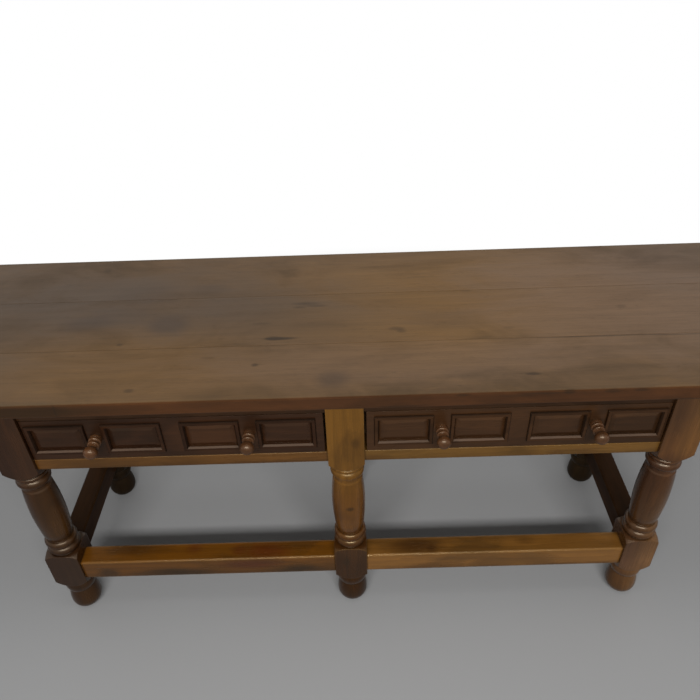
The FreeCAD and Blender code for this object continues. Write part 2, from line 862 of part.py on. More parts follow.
def button_box(spot, near, far, half, low, high):
    """A block that lies between two distances from the rail's face, measured along the tongue."""
    x, y, (along_x, along_y) = spot
    if along_x:
        edges = (x + near * along_x, x + far * along_x)
        start, end = edges if along_x > 0 else edges[::-1]
        return (start, y - half, low), (end, y + half, high)
    edges = (y + near * along_y, y + far * along_y)
    start, end = edges if along_y > 0 else edges[::-1]
    return (x - half, start, low), (x + half, end, high)


def screw_axis(spot):
    """The upright axis of a button's screw."""
    x, y, (along_x, along_y) = spot
    back = size("button_length") / 2
    return x - back * along_x, y - back * along_y


def build_buttons():
    """Wooden buttons under the top, each with its tongue in a slot."""
    body = new_body("top_buttons")
    low = top_underside - size("button_thickness")
    half = size("button_width") / 2
    for spot in button_places():
        box(body, *button_box(spot, -size("button_length"), zero, half, low, top_underside))
        box(body, *button_box(spot, zero, size("button_tongue_length"), half, low,
                              low + size("button_tongue_thickness")))
    for spot in button_places():
        x, y = screw_axis(spot)
        drill(body, (x, y, low - overrun), "z", size("screw_radius") + size("screw_clearance"),
              size("button_thickness") + overrun + overrun)


def build_screws():
    """Round-headed wood screws, up through the buttons into the top."""
    body = new_body("top_screws")
    low = top_underside - size("button_thickness")
    for spot in button_places():
        x, y = screw_axis(spot)
        drill(body, (x, y, low - size("screw_head_height")), "z", size("screw_head_radius"),
              size("screw_head_height"), "Additive")
        drill(body, (x, y, low), "z", size("screw_radius"), size("button_thickness") + size("screw_hold"),
              "Additive")


def cut_slots(body, piece_axis, face, span):
    """Cuts the slots of the buttons that meet one rail."""
    gap = size("button_slot_clearance")
    low = top_underside - size("button_thickness")
    half = size("button_width") / 2 + gap
    along = 1 if piece_axis == "x" else 0
    for spot in button_places():
        point = spot[:2]
        on_face = abs(point[along].value - face.value) < gap.value
        if on_face and span[0].value < point[1 - along].value < span[1].value:
            cut(body, *button_box(spot, -overrun, size("button_tongue_length") + gap, half, low - gap,
                                  low + size("button_tongue_thickness") + gap))


def build_top_board(label, front, back, rounded):
    """One board of the top, with its outer edges rounded and its screw holes."""
    body = new_body(label)
    base = box(body, (-top_end, front, top_underside), (top_end, back, size("table_height")))
    round_edges(body, base, size("top_edge_round"), rounded)
    radius = size("screw_radius") + size("screw_clearance")
    for spot in button_places():
        x, y = screw_axis(spot)
        if front.value < y.value < back.value:
            drill(body, (x, y, top_underside - overrun), "z", radius,
                  size("screw_hold") + size("screw_end_gap") + overrun)


def build_top():
    """Three boards joined edge to edge."""
    first_joint = top_front + size("front_board_width")
    second_joint = top_back - size("back_board_width")
    reach = size("leg_square").value / 100

    def at_end(a, b):
        return abs(abs(a.x) - top_end.value) < reach and abs(a.x - b.x) < reach and abs(a.z - b.z) < reach

    def outer(edge_y):
        def wanted(a, b):
            return at_end(a, b) or (abs(a.y - edge_y) < reach and abs(b.y - edge_y) < reach)
        return wanted

    build_top_board("top_board_front", top_front, first_joint, outer(top_front.value))
    build_top_board("top_board_middle", first_joint, second_joint, at_end)
    build_top_board("top_board_back", second_joint, top_back, outer(top_back.value))


# The whole table

def build_table():
    """Makes every piece of the table."""
    pieces = make_members()
    for label in LEGS:
        build_leg(label, pieces)
    slots = {
        "upper_rail_left": ("x", upper_rail_back, (-bay_outer, -bay_inner)),
        "upper_rail_right": ("x", upper_rail_back, (bay_inner, bay_outer)),
        "back_apron_left": ("x", back_apron_inside, (-bay_outer, -bay_inner)),
        "back_apron_right": ("x", back_apron_inside, (bay_inner, bay_outer)),
        "end_apron_left": ("y", -end_apron_inside, (front_legs, back_legs)),
        "end_apron_right": ("y", end_apron_inside, (front_legs, back_legs)),
    }
    for piece in pieces:
        body = build_member(piece)
        if piece["label"] in slots:
            cut_slots(body, *slots[piece["label"]])
    build_top()
    build_buttons()
    build_screws()
    for side in ("left", "right"):
        build_runners(side)
    build_stops()
    build_drawer("left_drawer", -drawer_middle)
    build_drawer("right_drawer", drawer_middle)


def check_and_write():
    """Recomputes the document, refuses any failed object and writes one file for each sub-part."""
    doc.recompute()
    for thing in doc.Objects:
        if "Invalid" in thing.State or "Error" in thing.State:
            raise RuntimeError(f"{thing.Label} did not build: {thing.State}")
    os.makedirs("parts", exist_ok=True)
    for part in parts:
        if part.Shape.isNull() or not part.Shape.isValid():
            raise RuntimeError(f"{part.Label} has no valid shape")
    for part in parts:
        part.Shape.exportStep(os.path.join("parts", f"{part.Label}.step"))
        volume = part.Shape.Volume / 1000
        print(f"{part.Label}: {len(part.Shape.Solids)} solids, {volume:.1f} cubic centimetres")
    print(f"{len(parts)} sub-parts")


build_table()
check_and_write()
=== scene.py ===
import bmesh
import bpy
import json
import math
from mathutils import Matrix, Vector


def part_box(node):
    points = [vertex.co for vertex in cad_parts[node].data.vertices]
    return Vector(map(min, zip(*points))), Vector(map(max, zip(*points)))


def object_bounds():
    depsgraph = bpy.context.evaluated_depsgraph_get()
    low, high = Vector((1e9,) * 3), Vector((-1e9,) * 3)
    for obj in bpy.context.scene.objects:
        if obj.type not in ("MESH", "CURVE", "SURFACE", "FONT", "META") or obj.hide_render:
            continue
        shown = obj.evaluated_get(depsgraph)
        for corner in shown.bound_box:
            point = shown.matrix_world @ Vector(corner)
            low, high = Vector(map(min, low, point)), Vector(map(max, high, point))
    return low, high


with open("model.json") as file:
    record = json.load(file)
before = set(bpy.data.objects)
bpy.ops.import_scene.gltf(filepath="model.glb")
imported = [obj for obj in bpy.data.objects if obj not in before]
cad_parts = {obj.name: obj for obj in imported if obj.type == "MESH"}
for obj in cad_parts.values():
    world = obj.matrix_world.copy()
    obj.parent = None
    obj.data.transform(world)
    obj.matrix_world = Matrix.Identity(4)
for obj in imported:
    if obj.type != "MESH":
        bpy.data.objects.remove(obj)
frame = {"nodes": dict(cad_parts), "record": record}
cad_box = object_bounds()
nodes = frame["nodes"]
scene = bpy.context.scene

TOP_FRONT = cad_box[0][1]
TOP_HEIGHT = cad_box[1][2]
LEG_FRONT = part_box("leg_front_middle")[0].y

# Camera: worked out from the legs, rails and stretchers, at the photograph's angle

SENSOR_MM = 36.0
PICTURE_PX = 700.0
FOCAL_PX = 678.4
CAMERA_PLACE = Vector((0.0272, -1.2582, 1.6499))
CAMERA_YAW = -0.0104
CAMERA_PITCH = 0.6569
CAMERA_ROLL = 0.0366


def set_camera():
    data = bpy.data.cameras.new("camera")
    data.sensor_width = SENSOR_MM
    data.lens = FOCAL_PX / PICTURE_PX * SENSOR_MM
    camera = bpy.data.objects.new("camera", data)
    scene.collection.objects.link(camera)
    level = Matrix.Rotation(-CAMERA_YAW, 4, "Z") @ Matrix.Rotation(math.pi / 2 - CAMERA_PITCH, 4, "X")
    roll = Matrix.Rotation(-CAMERA_ROLL, 4, "Z")
    camera.matrix_world = Matrix.Translation(CAMERA_PLACE) @ level @ roll
    scene.camera = camera


# Node graphs

class Graph:
    """The node tree of a material or of the world, with short calls for what the finishes use."""

    def __init__(self, owner):
        owner.use_nodes = True
        self.owner = owner
        self.tree = owner.node_tree
        self.tree.nodes.clear()

    def node(self, kind, inputs=None, **settings):
        made = self.tree.nodes.new(kind)
        for key, value in settings.items():
            setattr(made, key, value)
        for key, value in (inputs or {}).items():
            self.feed(made.inputs[key], value)
        return made

    def feed(self, socket, value):
        if isinstance(value, bpy.types.NodeSocket):
            self.tree.links.new(value, socket)
        elif isinstance(value, tuple) and socket.type == "RGBA" and len(value) == 3:
            socket.default_value = (*value, 1.0)
        else:
            socket.default_value = value

    def reckon(self, operation, first, second=0.0):
        return self.node("ShaderNodeMath", {0: first, 1: second}, operation=operation).outputs[0]

    def plus(self, first, second):
        return self.reckon("ADD", first, second)

    def minus(self, first, second):
        return self.reckon("SUBTRACT", first, second)

    def times(self, first, second):
        return self.reckon("MULTIPLY", first, second)

    def swing(self, pattern, width):
        """A pattern from 0 to 1 as a push to either side, as wide as given."""
        return self.times(self.minus(pattern, 0.5), width)

    def span(self, value, low, high, out_low=0.0, out_high=1.0):
        return self.node("ShaderNodeMapRange", {0: value, 1: low, 2: high, 3: out_low, 4: out_high},
                         interpolation_type="SMOOTHSTEP").outputs[0]

    def vector(self, operation, first, second=None):
        inputs = {0: first} if second is None else {0: first, 1: second}
        return self.node("ShaderNodeVectorMath", inputs, operation=operation)

    def axes(self, vector):
        """The X, Y and Z of a place or a direction."""
        return self.node("ShaderNodeSeparateXYZ", {0: vector}).outputs

    def blend(self, share, first, second, way="MIX"):
        made = self.node("ShaderNodeMix", data_type="RGBA", blend_type=way)
        self.feed(made.inputs[0], share)
        self.feed(made.inputs[6], first)
        self.feed(made.inputs[7], second)
        return made.outputs[2]


class Finish(Graph):
    """A material's node tree, which also has the piece's own coordinates."""

    def __init__(self, name):
        super().__init__(bpy.data.materials.new(name))
        self.place = self.node("ShaderNodeTexCoord").outputs["Object"]

    def mapped(self, turn, shift, scale):
        turned = self.node("ShaderNodeMapping", {0: self.place, 1: shift, 2: turn}).outputs[0]
        return self.node("ShaderNodeMapping", {0: turned, 3: scale}).outputs[0]

    def noise(self, place, scale=1.0, detail=4.0, rough=0.55, distortion=0.0):
        return self.node("ShaderNodeTexNoise", {"Vector": place, "Scale": scale, "Detail": detail,
                                                "Roughness": rough, "Distortion": distortion}).outputs[0]

    def surface(self, shader):
        self.node("ShaderNodeOutputMaterial", {"Surface": shader.outputs[0]})
        return self.owner


# Finishes of the wood

# Each finish: its usual stain, the stain where it has gone dark, rubbed edges with a painted highlight, open
# pores, how rough it is, how much the growth rings and the fine streaks show, how smoky it is, and the tint
# of its gloss
FINISHES = {
    "top_oak": {
        "stain": (0.0750, 0.0418, 0.0185), "deep": (0.0408, 0.0237, 0.0109),
        "wear_and_light_colour": (0.0745, 0.0430, 0.0164), "pore": (0.0121, 0.0070, 0.0036),
        "rough": 0.42, "rings": 0.09, "streaks": 0.10, "smoke": 0.85, "sheen": (1.0, 0.83, 0.62)},
    "dark_oak": {
        "stain": (0.0265, 0.0105, 0.0041), "deep": (0.0112, 0.0046, 0.0021),
        "wear_and_light_colour": (0.0612, 0.0282, 0.0108), "pore": (0.0041, 0.0018, 0.0008),
        "rough": 0.26, "rings": 0.18, "streaks": 0.20, "smoke": 0.9, "sheen": (1.0, 0.83, 0.62)},
    "golden_oak": {
        "stain": (0.0952, 0.0373, 0.0055), "deep": (0.0368, 0.0136, 0.0032),
        "wear_and_light_colour": (0.1650, 0.0848, 0.0250), "pore": (0.0127, 0.0051, 0.0014),
        "rough": 0.24, "rings": 0.20, "streaks": 0.22, "smoke": 0.9, "sheen": (1.0, 0.77, 0.44)},
    "plain_oak": {
        "stain": (0.1676, 0.1038, 0.0497), "deep": (0.1055, 0.0623, 0.0303),
        "wear_and_light_colour": (0.1862, 0.1186, 0.0662), "pore": (0.0497, 0.0267, 0.0121),
        "rough": 0.62, "rings": 0.45, "streaks": 0.40, "smoke": 0.5, "sheen": (1.0, 0.83, 0.62)},
}
STAINED = ("dark_oak", "golden_oak")

SMOKED = (0.0215, 0.0087, 0.0034)
AMBER = (0.1134, 0.0486, 0.0068)

# How the colour of a leg changes from the floor up: heights and colours
LEG_HEIGHT_COLOURS = {
    "leg_front_left": (
        (0.00, (0.0308, 0.0119, 0.0026)), (0.10, SMOKED),
        (0.24, (0.0214, 0.0081, 0.0029)), (0.33, (0.0356, 0.0145, 0.0035)),
        (0.47, (0.0297, 0.0111, 0.0029)), (0.54, (0.0214, 0.0076, 0.0028))),
    "leg_front_middle": (
        (0.00, (0.0215, 0.0062, 0.0010)), (0.18, (0.0262, 0.0080, 0.0012)),
        (0.25, (0.0400, 0.0140, 0.0030)), (0.285, (0.0590, 0.0205, 0.0040)),
        (0.315, (0.0950, 0.0350, 0.0052)), (0.40, (0.1042, 0.0394, 0.0053)),
        (0.50, AMBER), (0.66, AMBER)),
    "leg_front_right": (
        (0.00, (0.0872, 0.0410, 0.0103)), (0.16, (0.1230, 0.0603, 0.0224)),
        (0.25, (0.0660, 0.0300, 0.0096)), (0.33, (0.0740, 0.0345, 0.0110)),
        (0.42, (0.0540, 0.0225, 0.0072)), (0.50, (0.0494, 0.0191, 0.0062)),
        (0.56, (0.1034, 0.0450, 0.0112)), (0.66, (0.0724, 0.0331, 0.0106))),
}
# Painted light and shade on legs: the tones of a leg's darker left half and lighter right half, as the light
# falls
LEG_SIDE_LIGHT_AND_SHADE = {
    "leg_front_left": ((0.88, 0.80, 0.80), (1.12, 1.12, 1.00)),
    "leg_front_right": ((0.62, 0.56, 0.62), (1.22, 1.18, 1.15)),
}

# In the tables from here to ROUGH, a row holds for each piece with its word in the name, and a later row wins

# Pieces whose stain differs from their finish's
STAINS = {
    "left_drawer": (0.0229, 0.0088, 0.0038), "right_drawer": (0.0355, 0.0148, 0.0056),
    "upper_rail": (0.0238, 0.0101, 0.0040), "side_stretcher": (0.0203, 0.0074, 0.0021),
    "end_apron": (0.0251, 0.0098, 0.0038), "lower_rail_left": (0.0881, 0.0356, 0.0071),
    "lower_rail_right": (0.1045, 0.0489, 0.0095), "front_stretcher_left": (0.1007, 0.0358, 0.0033),
    "front_stretcher_right": (0.1245, 0.0535, 0.0106), "back_stretcher": (0.0434, 0.0174, 0.0041),
    "leg_back": (0.0129, 0.0067, 0.0025), "knob": (0.0620, 0.0250, 0.0095),
}
# Painted light and shade: pieces whose upright faces get another tone than their upper ones, as the light
# falls on them, and how much
PAINTED_FACE_LIGHT_TONES = {
    "top_board": (0.62, 0.405, 0.305), "front_stretcher_left": (0.80, 0.78, 0.62),
    "front_stretcher_right": (1.27, 1.26, 1.20),
}
# How far edges are rubbed and lit with a painted highlight, and hollows darkened with dirt and painted shade
WEAR_AND_PAINTED_LIGHT = {
    "": (0.45, 0.40), "leg_": (0.35, 0.70), "_drawer": (0.12, 0.10), "moulding": (0.05, 0.10),
    "knob": (0.30, 0.25), "top_board": (0.06, 0.30), "front_stretcher": (0.80, 0.45),
}
# How wide edges are rounded
ROUNDING = {"": 0.003, "moulding": 0.0005, "knob": 0.0010, "drawer_front": 0.0006, "front_stretcher": 0.0070}
# How strongly faces mirror light
GLOSS = {
    "": 0.45, "leg_front": 0.38, "leg_front_middle": 0.42, "top_board": 0.28, "front_stretcher": 0.55,
    "side_stretcher": 0.08, "leg_back": 0.15, "back_": 0.15, "_drawer": 0.28, "moulding": 0.18,
    "knob": 0.42, "upper_rail": 0.22, "end_apron": 0.15,
}
# How rough faces are, where it isn't as their finish says
ROUGH = {
    "leg_front": 0.21, "leg_front_middle": 0.20, "front_stretcher": 0.17, "side_stretcher": 0.45,
    "leg_back": 0.42, "knob": 0.20,
}

# Marks and zones of single pieces

# Each spot is a soft ellipse: how far out it has faded and how far out it is full, in its own half sizes
SPOT_SPAN = (2.0, 0.5)
# Knots and dark marks of the top: X, Y, half length, half width, strength
TOP_MARKS = (
    (-0.135, -0.083, 0.024, 0.0040, 0.9), (-0.150, -0.080, 0.012, 0.0060, 0.6),
    (-0.181, -0.171, 0.005, 0.0040, 0.7), (-0.424, -0.241, 0.007, 0.0040, 0.6),
    (-0.481, -0.088, 0.005, 0.0030, 0.6), (-0.591, 0.226, 0.007, 0.0260, 0.4),
    (-0.085, 0.050, 0.020, 0.0035, 0.5), (-0.060, 0.040, 0.016, 0.0030, 0.5),
    (-0.098, 0.036, 0.010, 0.0030, 0.5), (-0.181, -0.025, 0.014, 0.0030, 0.35),
    (-0.282, -0.143, 0.010, 0.0030, 0.3), (0.118, -0.058, 0.012, 0.0050, 0.5),
    (0.128, -0.068, 0.008, 0.0040, 0.5), (0.360, -0.069, 0.010, 0.0040, 0.25),
    (0.378, -0.225, 0.010, 0.0030, 0.7), (0.290, 0.083, 0.010, 0.0040, 0.25),
    (0.626, 0.001, 0.008, 0.0050, 0.3), (0.540, -0.108, 0.090, 0.0018, 0.6),
    (0.720, -0.110, 0.050, 0.0016, 0.6),
)
# Where the top is warm, grey, pale and dark, in the same measures, and the stain there; the pale one is
# partly a painted sheen
TOP_ZONES = (
    (((0.330, 0.080, 0.34, 0.15, 0.75), (0.120, -0.110, 0.16, 0.06, 0.40),
      (-0.450, -0.150, 0.28, 0.10, 0.36), (-0.200, 0.080, 0.20, 0.10, 0.20)), (0.131, 0.068, 0.021)),
    (((0.800, 0.180, 0.14, 0.10, 0.45), (-0.480, 0.070, 0.30, 0.10, 0.55),
      (-0.900, 0.080, 0.25, 0.22, 0.40), (-0.100, -0.020, 0.20, 0.10, 0.30)), (0.055, 0.037, 0.025)),
    # Pale: partly a painted sheen
    (((0.660, 0.050, 0.26, 0.16, 0.60), (0.130, -0.180, 0.30, 0.06, 0.35)), (0.125, 0.078, 0.050)),
    (((-0.389, -0.018, 0.034, 0.026, 0.58), (-0.579, -0.012, 0.042, 0.022, 0.45),
      (-0.448, 0.104, 0.055, 0.026, 0.35), (-0.318, 0.122, 0.035, 0.018, 0.32),
      (-0.020, -0.225, 0.024, 0.018, 0.50), (0.230, -0.035, 0.060, 0.030, 0.22),
      (-0.500, 0.030, 0.060, 0.030, 0.28)), (0.032, 0.0215, 0.0165)),
)
# Notches and splits of the top's front edge and of the middle leg: X, Z, half length, half height, strength
EDGE_MARKS = (
    (0.232, 0.776, 0.012, 0.0024, 0.7), (0.385, 0.775, 0.030, 0.0018, 0.6),
    (0.437, 0.777, 0.008, 0.0040, 0.7), (0.520, 0.776, 0.010, 0.0030, 0.6),
    (0.575, 0.777, 0.010, 0.0030, 0.6), (0.365, 0.747, 0.028, 0.0024, 0.8),
    (0.500, 0.747, 0.060, 0.0022, 0.7), (0.666, 0.747, 0.018, 0.0030, 0.7),
    (-0.562, 0.765, 0.0015, 0.016, 0.7), (0.120, 0.752, 0.040, 0.0020, 0.5),
    (-0.250, 0.748, 0.060, 0.0020, 0.5), (0.330, 0.770, 0.030, 0.0020, 0.4),
)
LEG_MARKS = (
    (0.017, 0.474, 0.006, 0.011, 0.7), (0.003, 0.388, 0.008, 0.005, 0.8),
    (0.020, 0.605, 0.006, 0.010, 0.4), (-0.012, 0.186, 0.007, 0.012, 0.7),
)
# Where the front edge has gone dark, in the same measures, and the stain there
EDGE_DARK = ((-0.680, 0.763, 0.190, 0.012, 1.0),)
EDGE_STAIN = (0.034, 0.0235, 0.0115)
# The zones of other pieces: X, Y, Z, half length, half width, strength, and the stain there
PIECE_ZONES = {
    "front_stretcher_left": (
        (((-0.215, -0.205, 0.222, 0.055, 0.022, 1.0), (-0.399, -0.190, 0.222, 0.018, 0.016, 1.0),
          (-0.285, -0.200, 0.222, 0.016, 0.018, 0.9), (-0.250, -0.232, 0.180, 0.060, 0.014, 0.9)),
         (0.066, 0.014, 0.003)),
        (((-0.440, -0.232, 0.150, 0.075, 0.014, 0.95), (-0.130, -0.232, 0.150, 0.050, 0.016, 1.0),
          (-0.620, -0.232, 0.155, 0.020, 0.014, 0.80), (-0.560, -0.180, 0.220, 0.070, 0.022, 0.60)),
         (0.018, 0.008, 0.003))),
    "front_stretcher_right": (
        (((0.165, -0.200, 0.222, 0.060, 0.024, 0.95), (0.206, -0.212, 0.222, 0.014, 0.016, 0.95),
          (0.440, -0.190, 0.222, 0.022, 0.014, 0.70)),
         (0.030, 0.011, 0.003)),),
    "left_drawer_front": (
        (((-0.279, -0.2145, 0.629, 0.075, 0.042, 1.0),), (0.037, 0.0140, 0.0052)),),
}


def on_board(rows, low, high):
    """The rows of a table of the top that reach one board, at the height of its upper face."""
    return [(x, y, TOP_HEIGHT, long, wide, strength) for x, y, long, wide, strength in rows
            if low - wide * SPOT_SPAN[0] < y < high + wide * SPOT_SPAN[0]]


def on_front(rows, front):
    """The rows of a table of an upright face, at that face's Y."""
    return [(x, front, z, long, high, strength) for x, z, long, high, strength in rows]


# Wood

TURNS = {"x": (0.0, 0.0, 0.0), "y": (0.0, 0.0, math.pi / 2), "z": (0.0, math.pi / 2, 0.0)}
# The patterns of the grain: scales along and across the piece, detail, roughness and distortion
PATTERNS = {
    "wander": (1.6, 9.0, 3.0, 0.55, 0.0), "streaks": (3.0, 75.0, 6.0, 0.62, 0.0),
    "fine": (14.0, 420.0, 3.0, 0.6, 0.0), "pores": (55.0, 1500.0, 2.0, 0.5, 0.0),
    "patches": (3.4, 8.0, 4.0, 0.6, 0.8), "flecks": (9.0, 24.0, 3.0, 0.6, 0.4),
}
RINGS = {"Scale": 3.2, "Distortion": 9.0, "Detail": 3.0, "Detail Scale": 1.4, "Detail Roughness": 0.6}
RINGS_STRETCH = (0.35, 5.0, 5.0)


def grain_patterns(graph, along, shift):
    """The noises and the growth rings of one piece, by name."""
    turn = TURNS[along]
    made = {}
    for name, (length, width, *settings) in PATTERNS.items():
        made[name] = graph.noise(graph.mapped(turn, shift, (length, width, width)), 1.0, *settings)
    place = graph.mapped(turn, shift, RINGS_STRETCH)
    made["rings"] = graph.node("ShaderNodeTexWave", {"Vector": place, **RINGS}, wave_type="RINGS",
                               rings_direction="X", wave_profile="SAW").outputs[1]
    return made


def spots(graph, marks, edge):
    """One mask for a table of soft ellipses. A ragged edge comes from the noise that pulls their outline."""
    total = 0.0
    for x, y, z, half_x, half_z, strength in marks:
        away = graph.vector("SUBTRACT", graph.place, (x, y, z)).outputs[0]
        depth = min(half_x, half_z)
        shape = (1 / half_x, 1 / depth, 1 / half_z)
        reach = graph.vector("LENGTH", graph.vector("MULTIPLY", away, shape).outputs[0]).outputs[1]
        total = graph.plus(total, graph.span(graph.plus(reach, edge), *SPOT_SPAN, 0.0, strength))
    return graph.reckon("MINIMUM", total, 1.0)


# The noise that moves the boundaries of a leg's stain, its scale and detail, and how far it moves them
LEVEL_NOISE = (14.0, 3.0)
LEVEL_PULL = 0.06


def height_colour_ramp(graph, stops):
    """A colour that changes with height, with a wandering boundary."""
    height = graph.axes(graph.place)[2]
    pull = graph.swing(graph.noise(graph.place, *LEVEL_NOISE), LEVEL_PULL)
    made = graph.node("ShaderNodeValToRGB", {0: graph.plus(height, pull)})
    points = made.color_ramp.elements
    while len(points) < len(stops):
        points.new(0.5)
    for point, (level, colour) in zip(points, stops):
        point.position = level
        point.color = (*colour, 1.0)
    return made.outputs[0]


# Smoky patches and pale flecks: where they start in their pattern, where they are full, how strong they are,
# and their tone
SMOKE_SPAN = (0.46, 0.66)
SMOKE_SHARE = 0.75
SMOKE_STAIN_SHARE = 0.42
LEG_SMOKE_SPAN = (0.48, 0.66, 0.0, 0.55)
LEG_SMOKE_TONE = (0.45, 0.42, 0.42)
FLECK_SPAN = (0.50, 0.34, 0.0, 0.35)
FLECK_TONE = (1.45, 1.40, 1.25)


def stained(graph, grain, look, stain, stops):
    """The stain of a piece, with smoky patches and paler flecks."""
    if stops:
        colour = height_colour_ramp(graph, stops)
        smoke = graph.span(grain["patches"], *LEG_SMOKE_SPAN)
        colour = graph.blend(smoke, colour, LEG_SMOKE_TONE, "MULTIPLY")
    else:
        dark = tuple(channel * SMOKE_STAIN_SHARE for channel in stain) if stain else look["deep"]
        smoke = graph.span(grain["patches"], *SMOKE_SPAN, 0.0, look["smoke"] * SMOKE_SHARE)
        colour = graph.blend(smoke, stain or look["stain"], dark)
    return graph.blend(graph.span(grain["flecks"], *FLECK_SPAN), colour, FLECK_TONE, "MULTIPLY")


# How ragged the zones are, and how far the painted light and shade between a leg's halves reaches and wanders
ZONE_PULL = 1.8
SIDE_REACH = 0.030
SIDE_PULL = 0.05


def zoned(graph, grain, colour, zones, sides):
    """The zones where a piece has another stain, the top's pale one partly a painted sheen, and the painted
    light and shade of a leg's two halves.
    """
    if zones:
        pull = graph.swing(grain["patches"], ZONE_PULL)
    for rows, tone in zones:
        colour = graph.blend(spots(graph, rows, pull), colour, tone)
    # Painted light and shade: one half of the leg darker, the other lighter
    if sides:
        centre, tones = sides
        across = graph.plus(graph.axes(graph.place)[0], graph.swing(grain["patches"], SIDE_PULL))
        share = graph.span(across, centre - SIDE_REACH, centre + SIDE_REACH)
        colour = graph.blend(1.0, colour, graph.blend(share, *tones), "MULTIPLY")
    return colour


# Where a face starts to count as upright and where it fully does, and where an arris starts and ends, all as
# the Z of a direction, and how much rougher the arris is
UPRIGHT_SPAN = (0.8, 0.3)
TOP_UPRIGHT_SPAN = (0.985, 0.80)
ARRIS_LOW_SPAN = (0.10, 0.30)
ARRIS_HIGH_SPAN = (0.995, 0.93)
ARRIS_DULLED = 0.48


def arris(graph, rounded):
    """How much rougher the top is along its rounded edges."""
    tilt = graph.axes(rounded)[2]
    turned = graph.times(graph.span(tilt, *ARRIS_LOW_SPAN), graph.span(tilt, *ARRIS_HIGH_SPAN))
    return graph.times(turned, ARRIS_DULLED)


# A moulding: how far its faces turn before painted shade and grime show, their tone, the band between its
# upper and lower ledge, how much rougher the upper one is, how strongly the lower one is painted bright with
# a highlight and wear, and that colour
FACE_TURN_SPAN = (0.10, 0.45)
SHADE_AND_GRIME_TONE = (0.42, 0.40, 0.40)
LEDGE_BAND = 0.01
LEDGE_DULLED = 0.50
LEDGE_HIGHLIGHT_SHARE = 0.75
LEDGE_HIGHLIGHT_AND_WEAR = (0.092, 0.060, 0.042)


def grimed(graph, colour, flat, middle):
    """Painted shade and grime on a moulding's sides, undersides and upper ledge, a lower ledge painted bright
    with a highlight and wear, and the upper one's roughness.
    """
    across, _, rise = graph.axes(flat)
    level = graph.axes(graph.place)[2]
    side = graph.span(graph.reckon("ABSOLUTE", across), *FACE_TURN_SPAN)
    under = graph.span(rise, *(-turn for turn in FACE_TURN_SPAN))
    ledge = graph.span(rise, *FACE_TURN_SPAN)
    upper = graph.times(ledge, graph.span(level, middle - LEDGE_BAND, middle + LEDGE_BAND))
    lower = graph.times(ledge, graph.span(level, middle + LEDGE_BAND, middle - LEDGE_BAND))
    # Painted shade and grime: sideways and downward faces and the upper ledge darker
    shade_and_dirt = graph.reckon("MAXIMUM", graph.reckon("MAXIMUM", side, under), upper)
    colour = graph.blend(shade_and_dirt, colour, SHADE_AND_GRIME_TONE, "MULTIPLY")
    # Painted highlight and wear: the lower ledge lighter
    colour = graph.blend(graph.times(lower, LEDGE_HIGHLIGHT_SHARE), colour, LEDGE_HIGHLIGHT_AND_WEAR)
    return colour, graph.times(upper, LEDGE_DULLED)


# How much the streaks and the fine grain lighten or darken the stain, and the darkest that they make it
STREAK_SHARE = 2.6
FINE_SHARE = 0.5
LEAST_LIGHT = 0.15
# How ragged and how strong the dark lower edge, the pores and the marks are
LOW_EDGE_PULL = 0.10
LOW_EDGE_SHARE = 0.75
PORE_SPAN = (0.60, 0.72)
PORE_STREAK_SPAN = (0.62, 0.40)
PORE_SHARE = 0.6
MARK_PULL = 2.0
MARK_SHARE = 0.85


def grained(graph, grain, look, colour, low_edge, marks, pore):
    """Rings, streaks and pores in the stain, a dark lower edge and the piece's knots and marks."""
    light = graph.swing(grain["rings"], -look["rings"])
    light = graph.plus(light, graph.swing(grain["streaks"], look["streaks"] * STREAK_SHARE))
    light = graph.plus(light, graph.swing(grain["fine"], FINE_SHARE))
    light = graph.reckon("MAXIMUM", graph.plus(light, 1.0), LEAST_LIGHT)
    colour = graph.blend(1.0, colour, light, "MULTIPLY")
    if low_edge:
        ragged = graph.plus(graph.axes(graph.place)[2], graph.swing(grain["flecks"], LOW_EDGE_PULL))
        share = graph.span(ragged, low_edge[1], low_edge[0], 0.0, LOW_EDGE_SHARE)
        colour = graph.blend(share, colour, look["deep"])
    colour = graph.blend(graph.times(pore, PORE_SHARE), colour, look["pore"])
    if marks:
        dark = spots(graph, marks, graph.swing(grain["streaks"], MARK_PULL))
        colour = graph.blend(graph.times(dark, MARK_SHARE), colour, look["pore"])
    return colour


# How far the rounded and the flat direction agree where an edge starts and ends, and how its wear and painted
# highlight wander
EDGE_SPAN = (0.995, 0.93)
EDGE_SAMPLES = 4
WANDER_SPAN = (0.30, 0.60, 0.2, 0.9)
# How near another face makes a hollow, how open a place is where edges are rubbed and highlit, and where
# hollows get dirt and painted shade
HOLLOW_REACH = 0.012
HOLLOW_SAMPLES = 6
OPEN_SPAN = (0.45, 0.85)
HOLLOW_SPAN = (0.20, 0.70)


def wear_and_light_colour(graph, grain, look, colour, flat, rounded, wear_and_light):
    """Rubbed edges with a painted highlight, and hollows darkened with dirt and painted shade."""
    edges, hollows = wear_and_light
    agree = graph.vector("DOT_PRODUCT", rounded, flat).outputs[1]
    # Painted highlight and wear: rubbed edges lighter
    rubbed_and_highlit = graph.times(graph.span(agree, *EDGE_SPAN), graph.span(grain["wander"], *WANDER_SPAN))
    hollow = graph.node("ShaderNodeAmbientOcclusion", {"Distance": HOLLOW_REACH},
                        samples=HOLLOW_SAMPLES).outputs["AO"]
    rubbed_and_highlit = graph.times(rubbed_and_highlit, graph.span(hollow, *OPEN_SPAN))
    colour = graph.blend(graph.times(rubbed_and_highlit, edges), colour, look["wear_and_light_colour"])
    # Painted shade and dirt: hollows darker
    return graph.blend(graph.span(hollow, *HOLLOW_SPAN, hollows, 0.0), colour, look["pore"])


# How roughness and the height of the surface follow the patches, the fine grain and the pores
ROUGH_SPAN = (0.3, 0.75)
ROUGH_LESS = 0.05
ROUGH_MORE = 0.10
FINE_ROUGH = 0.10
FINE_HEIGHT = 0.35
PORE_DEPTH = 0.65
BUMP = {"Strength": 0.15, "Distance": 0.0006}
WOOD_IOR = 1.45


